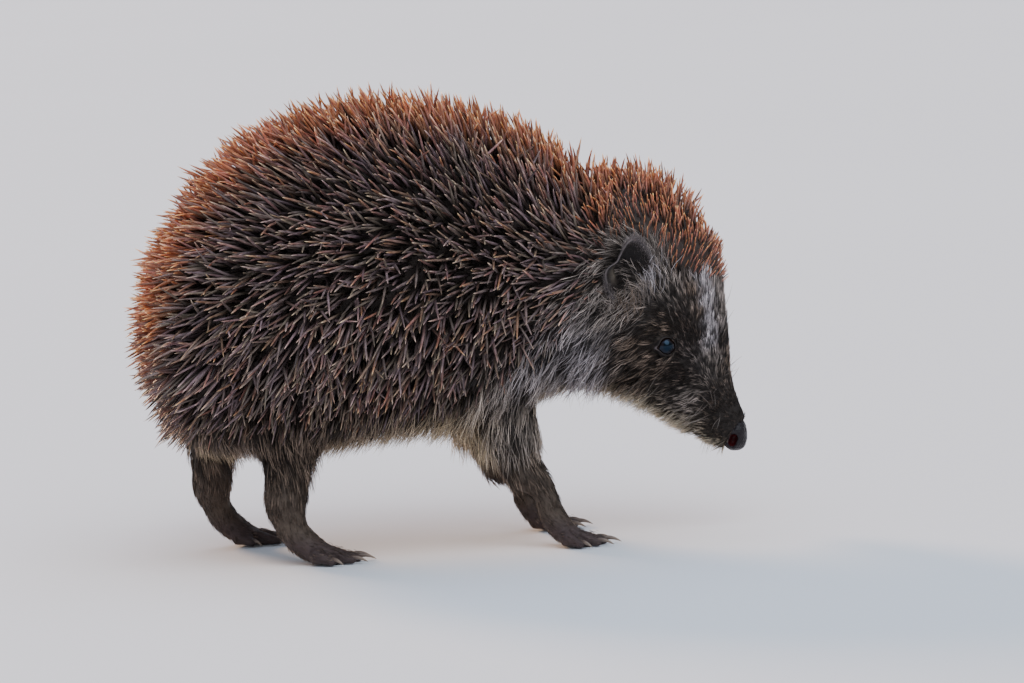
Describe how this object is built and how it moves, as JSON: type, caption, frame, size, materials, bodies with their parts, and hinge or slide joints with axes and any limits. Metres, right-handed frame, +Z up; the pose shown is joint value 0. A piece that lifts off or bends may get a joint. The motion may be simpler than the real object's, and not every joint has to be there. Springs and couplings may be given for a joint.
{
  "type": "hedgehog",
  "caption": "Life-size still hedgehog walking with arched back and lowered snout, coat of spines over the back, hairy face, belly and legs.",
  "frame": {"origin": "on the floor, under the middle of the animal's length and width", "axes": "+Z up, -Y towards the nose, +X towards the animal's left side"},
  "size_m": [0.1086, 0.1944, 0.1479],
  "materials": {
    "spines": "semi-gloss keratin spines, cream at root and tip with a dark band, no image texture",
    "fur": "coarse grey-brown hair, paler on the forehead, cheeks and throat",
    "skin": "dark purplish-brown skin, dull, finely creased, thinly haired",
    "nose": "black, wet, finely pebbled",
    "eye": "black-brown, wet, glossy",
    "claw": "brown horn, satin"
  },
  "bodies": {
    "root": {"trunk": "spines", "neck": "spines", "head": "fur", "nose": "nose", "tail": "fur", "eye_right": "eye", "ear_right": "skin", "eye_left": "eye", "ear_left": "skin", "leg_fore_right": "fur", "paw_fore_right": "skin", "claw_fore_right_1": "claw", "claw_fore_right_2": "claw", "claw_fore_right_3": "claw", "claw_fore_right_4": "claw", "claw_fore_right_5": "claw", "leg_fore_left": "fur", "paw_fore_left": "skin", "claw_fore_left_1": "claw", "claw_fore_left_2": "claw", "claw_fore_left_3": "claw", "claw_fore_left_4": "claw", "claw_fore_left_5": "claw", "leg_hind_right": "fur", "paw_hind_right": "skin", "claw_hind_right_1": "claw", "claw_hind_right_2": "claw", "claw_hind_right_3": "claw", "claw_hind_right_4": "claw", "claw_hind_right_5": "claw", "leg_hind_left": "fur", "paw_hind_left": "skin", "claw_hind_left_1": "claw", "claw_hind_left_2": "claw", "claw_hind_left_3": "claw", "claw_hind_left_4": "claw", "claw_hind_left_5": "claw"}
  },
  "joints": []
}
